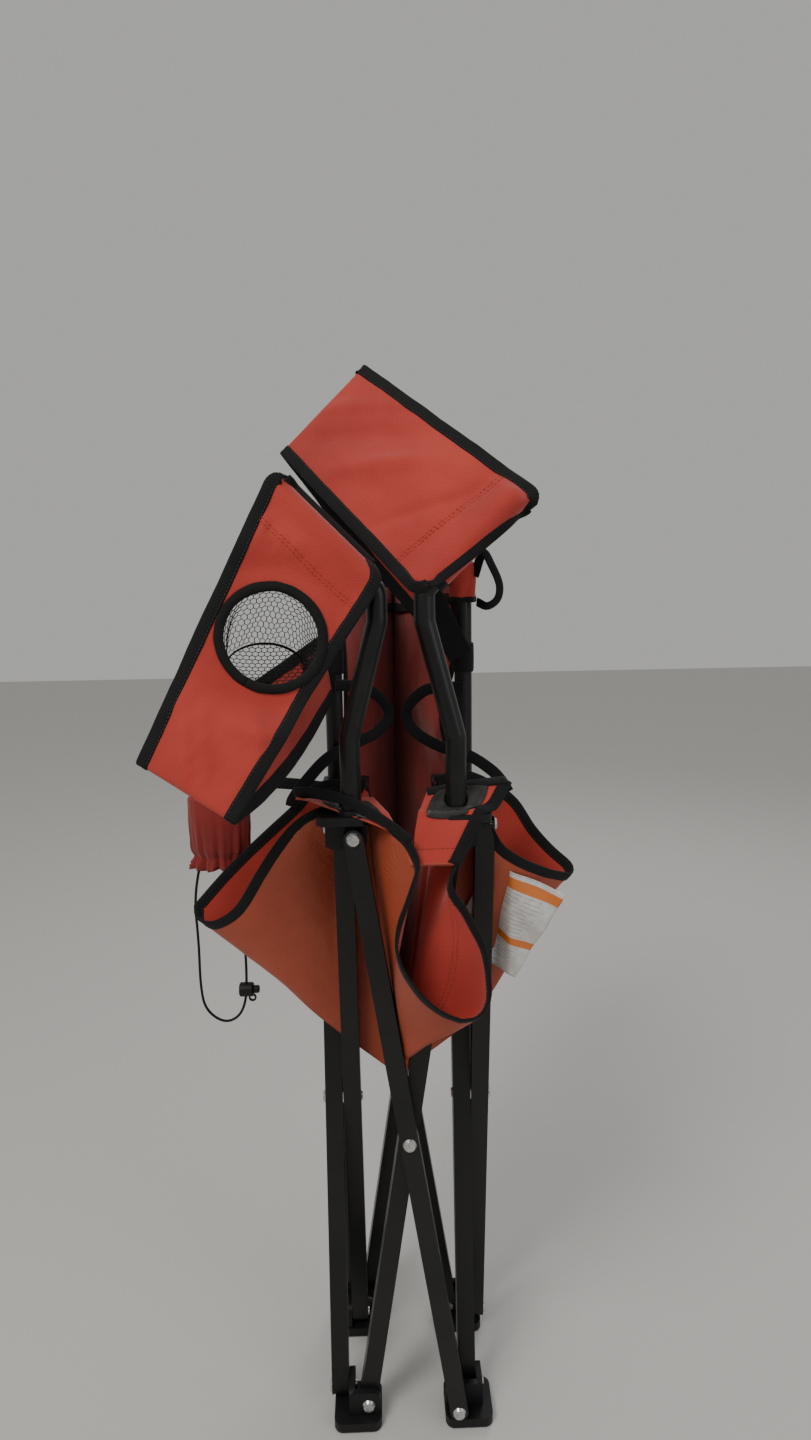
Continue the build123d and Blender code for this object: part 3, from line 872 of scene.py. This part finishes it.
def make_arm(side, sign, start_edge, fold_edge, end_edge, sag, cup=None):
    """Each edge is (upper or outer corner, lower or inner corner) of the strip; sag is how far the
    rear half's inner edge hangs, and cup the centre and axis of the cup's hole."""
    s0, s1 = (Vector(p) for p in start_edge)
    f0, f1 = (Vector(p) for p in fold_edge)
    e0, e1 = (Vector(p) for p in end_edge)
    smid, fmid, emid = (s0 + s1) / 2, (f0 + f1) / 2, (e0 + e1) / 2
    front_len, rear_len = (fmid - smid).length, (emid - fmid).length
    total = front_len + rear_len
    cut = front_len / total
    nf = (fmid - smid).cross(s1 - s0).normalized()
    if nf.y > 0:
        nf = -nf
    bend = 9.0 / total
    post, post_way = post_end(sign)
    panel_way = Vector((-0.7071, 0, sign * 0.7071))

    def raw(u, v):
        if u < cut:
            t = u / cut
            p = s0.lerp(f0, t).lerp(s1.lerp(f1, t), v)
            return p + nf * (3.5 * sin(pi * t) * sin(pi * v))
        t = (u - cut) / (1 - cut)
        low = Vector((0, 0, -sag * sin(pi * t)))
        return f0.lerp(e0, t).lerp(f1.lerp(e1, t) + low, v)

    def point(u, v):
        run = u * total
        inset = 0.0
        if run < END_R:
            inset = (END_R - sqrt(END_R**2 - (END_R - run) ** 2)) / 120
        wander = 0.011 * fbm(Vector((u * 9, sign * 3.0, 0)), 1.0) * smooth01(run / 20)
        v = inset + v * (1 - 2 * inset) + wander
        p = raw(u, v)
        if abs(u - cut) < bend:
            a, b = raw(cut - bend, v), raw(cut + bend, v)
            t = (u - cut + bend) / (2 * bend)
            k = raw(cut, v)
            p = a.lerp(k, t).lerp(k.lerp(b, t), t) * 0.75 + k * 0.25
        t = u / cut
        folds = 0.0
        if u < cut:
            strength = smooth01(run / 34) * smooth01((cut - u) * total / 16)
            slant = t * 0.9 - v * 0.55
            folds = 4.6 * bump_at(slant, 0.20, 0.10) - 3.2 * bump_at(slant, 0.42, 0.07)
            folds += 2.4 * bump_at(t, 0.3 + 0.5 * v, 0.05) * smooth01(v / 0.4)
            folds += 3.4 * bump_at(slant, 0.62, 0.05) - 2.6 * bump_at(t, 0.12 + 0.28 * v, 0.035)
            folds *= sin(pi * min(1, max(0, v)))
        else:
            strength = 0.5 * smooth01((u - cut) * 8)
        waves = 3.6 * fbm(Vector((u * 2.6, v * 1.2 + u * 1.5, sign * 5.0)), 1.9)
        crumple = 1.5 * fbm(Vector((u * 7 + v, v * 2.4 - u, sign * 9.0)), 2.3)
        p = p + nf * strength * (waves + crumple + folds)
        # drawn over the inclined end of the post
        if run < 70:
            rel = p - post
            d, along = rel.dot(panel_way), rel.dot(post_way)
            hold = smooth01((along + 8) / 12) * smooth01((124 - along) / 14)
            if d < 0:
                y = POST_Y - sqrt(max(0.0, POST_R**2 - d * d))
            else:
                y = POST_Y - POST_R + (p.y - POST_Y + POST_R) * smooth01(d / 27)
            p = Vector((p.x, p.y + (y - p.y) * hold, p.z))
            p = p + nf * (0.9 * bump_at(run, 40, 5) * sin(v * 75 + 2 * sin(v * 31)))
        if cup:
            c, n = cup
            r = (p - c).length
            if u < cut:
                p = p - n * (p - c).dot(n) * smooth01((88 - r) / 30)
        return p * MM

    keep = None
    if cup:                      # the cup's hole is cut in the front half only
        keep = lambda p: (p / MM - cup[0]).length > 45.0 or abs((p / MM - cup[0]).dot(cup[1])) > 12
    nu = 200
    cloth = sheet_mesh(f"arm_{side}_cloth", point, nu, ARM_WIDE, (total * MM, 0.12), RED, RED, 1.0, keep)
    trims = []
    for tag, v, beside in (("a", 0.0, 0.06), ("b", 1.0, 0.94)):
        rim = [point(i / nu, v) for i in range(nu + 1)]
        inward = [point(i / nu, beside) - point(i / nu, v) for i in range(nu + 1)]
        centre = [p + d.normalized() * 4.0 * MM for p, d in zip(rim, inward)]
        trims.append(strip_mesh(f"arm_{side}_binding_{tag}", centre, inward, 11.5, 3.0, BINDING))
        line_pts = [p + d.normalized() * 8.0 * MM for p, d in zip(rim, inward)]
        trims.append(stitch_mesh(f"arm_{side}_edge_stitch_{tag}", line_pts[: int(nu * cut)],
                                 [nf] * nu, DARK_THREAD, 3.4, 2.3, 0.36, 1.6))
    shares = [i / ARM_WIDE for i in range(ARM_WIDE + 1)]
    ends = [point(0.0, v) for v in shares]
    out_way = [point(0.025, v) - point(0.0, v) for v in shares]
    trims.append(strip_mesh(f"arm_{side}_end_binding", ends, out_way, 11.5, 3.0, BINDING))
    for n, run in enumerate((38.5, 41.5)):
        seam = [point(run / total, 0.06 + 0.88 * v) for v in shares]
        trims.append(stitch_mesh(f"arm_{side}_pocket_seam_{n}", seam, [nf] * len(seam), THREAD,
                                 4.4, 3.0, 0.42, 0.8))
    a_dir, b_dir = (fmid - smid).normalized(), (emid - fmid).normalized()
    step = (a_dir + b_dir).normalized()
    start, end = (fmid - step * 3) * MM, (fmid + step * 3) * MM
    hook = Vector((sign * 64, 57, 783))          # where the webbing meets the upright
    if (emid - hook).length > 30:
        web = smooth_path([emid * MM - b_dir * 12 * MM, emid * MM, hook * MM], 24)
        trims.append(strip_mesh(f"arm_{side}_web", web, [Vector((0.8, 0, 0.5))] * 25, 26, 2.0, WEB))
    for piece in [cloth] + trims:
        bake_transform(piece)
        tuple(start)
        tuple(end)
    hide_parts(f"arm_{side}_front", f"arm_{side}_rear")


# the cup ring's centre and plane: strip_x runs down the left armrest, strip_y across it
pocket_l = Vector((-62, POST_Y, 896))
fold_l = Vector((-179.2, -150, 696.5))
strip_x = (fold_l - pocket_l).normalized()
post_way = post_end(-1)[1]
strip_y = (post_way - strip_x * post_way.dot(strip_x)).normalized()
cup_n = strip_x.cross(strip_y)
if cup_n.y < 0:
    cup_n = -cup_n
cup_c = pocket_l + strip_x * 97 + strip_y * 2

make_arm("left", -1, ((-106, -72, 960), (-14, -74, 868)), ((-220, -137, 719), (-140, -163, 675)),
         ((-78, 56, 806), (-68, 52, 744)), 16, (cup_c, cup_n))
make_arm("right", 1, ((124, -72, 934), (13, -72, 851)), ((-30, 53, 1067), (-112, 53, 988)),
         ((52, 60, 856), (20, 54, 822)), 4)


def post_pocket(side, sign):
    """Cloth drawn round the inclined end of the arm post."""
    base, e = post_end(sign)
    base = base + e * 14
    y = Vector((0, 1, 0))
    x = e.cross(y)

    def point(u, v):
        a = 2 * pi * u
        r = 11.6 * (1 + 0.05 * sin(pi * v) + 0.03 * sin(a * 5 + v * 9) * (1 - v))
        if v > 0.9:
            r *= rounded_end((v - 0.9) / 0.1, 0.01)
        return (base + e * (105 * v) + x * r * cos(a) + y * r * sin(a)) * MM

    obj = sheet_mesh(f"arm_{side}_post_pocket", point, 44, 60, (0.075, 0.11), RED, RED, CLOTH)
    hem = [point(i / 44, 0.0) for i in range(45)]
    tape = strip_mesh(f"arm_{side}_post_hem", hem, [e] * 45, 9, 2.4, BINDING)
    ride_on(f"hub_front_{side}", "red_fabric", obj, tape)


post_pocket("left", -1)
post_pocket("right", 1)


def upright_loop(side, sign):
    """Webbing that ties the armrest's rear end round the upright."""
    centre, radius = Vector((sign * UPRIGHT_AT, UPRIGHT_AT, 781)), 10.4
    angles = [2 * pi * i / 40 for i in range(41)]
    path = [(centre + Vector((cos(a) * radius, sin(a) * radius, 0))) * MM for a in angles]
    obj = strip_mesh(f"arm_{side}_upright_loop", path, [UP] * 41, 30, 1.8, WEB)
    ride_on(f"foot_rear_{side}", "black_fabric", obj)


upright_loop("left", -1)
upright_loop("right", 1)

# ------------------------------------------------------------------ net cup holder
HEX_ROW, HEX_RADIUS = 0.866, 0.5774  # row pitch and corner radius of hexagons of unit width
YARN = 0.00042                       # radius, in metres
NET_DEPTH = 57


def hex_cells(cols, rows):
    """Hexagons of unit width, as corner lists in cell units."""
    corners = [(cos(pi / 2 + pi / 3 * k) * HEX_RADIUS, sin(pi / 2 + pi / 3 * k) * HEX_RADIUS)
               for k in range(6)]
    out = []
    for r in range(rows):
        for c in range(cols):
            cx, cy = c + 0.5 * (r % 2), r * HEX_ROW
            out.append([(cx + x, cy + y) for x, y in corners])
    return out


def net_mesh(name, cells, place):
    """A net of yarn along the cells' edges: place(x, y) is a point, or None outside the net."""
    verts, faces = [], []
    for cell in cells:
        pts = [place(x, y) for x, y in cell]
        if any(p is None for p in pts):
            continue
        faces.append(tuple(range(len(verts), len(verts) + 6)))
        verts += pts
    mesh = bpy.data.meshes.new(name)
    mesh.from_pydata(verts, [], faces)
    mesh.materials.append(NET)
    obj = link(name, mesh)
    bm = bmesh.new()
    bm.from_mesh(mesh)
    bmesh.ops.remove_doubles(bm, verts=bm.verts, dist=0.0003)
    bm.to_mesh(mesh)
    bm.free()
    wire = obj.modifiers.new("yarn", "WIREFRAME")
    wire.thickness = YARN * 2
    wire.use_even_offset = False
    wire.use_boundary = True
    return applied(obj)


def net_place(radial, r, depth):
    """A point of the sagging net: radial is a unit direction in the ring's plane."""
    fall = 27 * (depth / NET_DEPTH) ** 1.4 * (0.75 + 0.45 * radial.z)
    return (cup_c + cup_n * (2.0 + depth * 0.9) + radial * r + DOWN * fall) * MM


def ring_way(a):
    return strip_x * cos(a) + strip_y * sin(a)


def net_layer(name, around, radius, where):
    cell = 2 * pi * 42 / around

    def place(x, y):
        a, d = 2 * pi * x / around, max(0.0, y * cell)
        if d > NET_DEPTH + 2 or not where(ring_way(a)):
            return None
        ripple = 2.2 * sin(4 * a + 0.6) * smooth01(d / 40) + 1.2 * sin(9 * a + d * 0.12) * smooth01(d / 30)
        return net_place(ring_way(a), radius - d * 0.12 + ripple, d)

    return net_mesh(name, hex_cells(around, 14), place)


def net_floor(x, y):
    cell, reach = 5.5, 36
    px, py = (x - 7) * cell, (y - 6.3) * cell
    r = sqrt(px * px + py * py)
    if r > reach:
        return None
    way = (strip_x * px + strip_y * py) / max(r, 1e-6)
    return net_place(way * (r / reach), reach, 54 + 3 * cos(r / reach * pi / 2))


wall = net_layer("cup_net_wall", 48, 43.0, lambda way: True)
gather = net_layer("cup_net_gather", 61, 41.0, lambda way: way.z < -0.1)
base = net_mesh("cup_net_floor", hex_cells(15, 15), net_floor)
ways = [ring_way(2 * pi * i / 90) for i in range(91)]
hoop = strip_mesh("cup_net_hoop", [net_place(way, 36.5, NET_DEPTH) for way in ways], [cup_n] * 91,
                  7, 1.6, BLACK_CLOTH)
sleeve = strip_mesh("cup_ring_sleeve", [(cup_c + way * CUP_RING_RADIUS) * MM for way in ways], ways,
                    8.6, 7.0, BLACK_CLOTH)
for v in sleeve.data.vertices:
    v.co += noise.noise_vector(v.co * 95) * 0.0006
ride_on("arm_left_front", "black_fabric", wall, gather, base, hoop, sleeve)
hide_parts("cup_net")

# ------------------------------------------------------------------ carry bag
def bag_point(u, v):
    """v = 0 at the gathered mouth below, 1 at the closed top."""
    a = 2 * pi * u
    flare = smooth01((0.13 - v) / 0.13)
    pleat = (sin(13 * a) * 0.6 + sin(22 * a + 1.3) * 0.4) * (0.13 * (1 - v) ** 2 + 0.09 * flare)
    k = 0.97 + 0.08 * smooth01(v / 0.6) - 0.13 * bump_at(v, 0.15, 0.06) + pleat
    k += 0.03 * fbm(Vector((cos(a), sin(a), v * 2)), 2.0)
    if v > 0.88:
        k *= rounded_end((v - 0.88) / 0.12, 0.02)
    z = 568 + 82 * v + (1.6 * sin(7 * a) - 1.0 * cos(a) - 1.5) * (1 - v) ** 2
    return mm(-190 + 30 * k * cos(a), 50 + 17 * k * sin(a), z)


BAG_ROUND = 150                      # steps round the bag
# the bag and its hem take the darkened red, painted shade for the armrest's shadow
bag = sheet_mesh("bag_cloth", bag_point, BAG_ROUND, 46, (0.19, 0.09), BAG_RED_PAINTED_SHADE, BAG_RED_PAINTED_SHADE, 0.8)
strap_path = smooth_path([mm(-172, 50, 648), mm(-140, 51, 655), mm(-108, 52, 653), mm(-78, 54, 648)], 24)
hanger = strip_mesh("bag_hanger", strap_path, [Vector((0, 0.2, 1))] * 25, 12, 1.6, WEB)
hem_path = [bag_point(i / BAG_ROUND, 0.04) for i in range(BAG_ROUND + 1)]
hem = strip_mesh("bag_hem", hem_path, [UP] * len(hem_path), 4, 1.6, BAG_RED_PAINTED_SHADE)
ride_on("slider_rear_left", "red_fabric", bag, hanger, hem)
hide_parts("carry_bag")

# ------------------------------------------------------------------ hanging label
LABEL_WIDTH, LABEL_HEIGHT, LABEL_TILT = 78, 104, radians(27)


def label_point(u, v):
    x, z = (u - 0.5) * LABEL_WIDTH, (0.5 - v) * LABEL_HEIGHT
    c, s = cos(LABEL_TILT), sin(LABEL_TILT)
    across, up = x * c + z * s, -x * s + z * c
    free = smooth01((across + 9) / 15)
    y = -20.3 - 0.1495 * up + 0.4 * sin(v * 9 + u * 5)
    y += free * (-17 + 6 * smooth01(across / 45) + 2.6 * sin(v * 6.5 + u * 3.4) + 1.8 * sin(v * 15 - u * 8))
    return mm(98 + across, y, 531 + 0.989 * up - 2.0 * free * sin(v * 4))


card = sheet_mesh("label_card", label_point, 36, 48, (0.078, 0.104), LABEL, LABEL, 0.4)
ride_on("seat_right_first", "white_label", card)
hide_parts("hang_label")

# ------------------------------------------------------------------ carry strap
pts = [(79, 62, 864), (87, 56, 887), (96, 53, 873), (103, 51, 855), (101, 51, 841), (91, 52, 834),
       (81, 58, 838)]
path = traced(pts, 50)
inner = Vector((0, 1, 0))
across = [inner * 0.65 + t.cross(inner) * 0.75 for t in directions(path)]
handle = strip_mesh("strap_loop", path, across, 11, 1.8, WEB)
ride_on("foot_rear_right", "black_fabric", handle)
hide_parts("carry_strap")

# ------------------------------------------------------------------ stage and light
FLOOR, FLOOR_Z = 6, -0.0005          # half its width and its height in metres, a hair under the feet
corners = [(x * FLOOR, y * FLOOR, FLOOR_Z) for x, y in ((-1, -1), (1, -1), (1, 1), (-1, 1))]
floor_mesh = bpy.data.meshes.new("floor")
floor_mesh.from_pydata(corners, [], [(0, 1, 2, 3)])
floor = link("floor", floor_mesh)
floor_mesh.materials.append(plain_stage("pale_floor", (0.62, 0.61, 0.59), 0.8))

world = bpy.data.worlds.new("studio")
bpy.context.scene.world = world
world.use_nodes = True
background = world.node_tree.nodes["Background"]
background.inputs["Color"].default_value = (0.60, 0.595, 0.58, 1)
background.inputs["Strength"].default_value = 0.72


def area_light(name, where, target, size, power, col=(1, 1, 1)):
    data = bpy.data.lights.new(name, "AREA")
    data.shape = "DISK"
    data.size = size
    data.energy = power
    data.color = col
    obj = link(name, data)
    obj.location = where
    obj.rotation_euler = (Vector(target) - Vector(where)).to_track_quat("-Z", "Y").to_euler()


area_light("key", (-0.9, -1.2, 2.3), (0, 0, 0.75), 0.9, 26, (1, 0.96, 0.9))
area_light("fill", (1.6, -1.4, 1.3), (0, 0, 0.6), 1.4, 7, (0.92, 0.96, 1))
area_light("back", (0.8, 1.6, 1.9), (0, 0, 0.7), 1.0, 9)
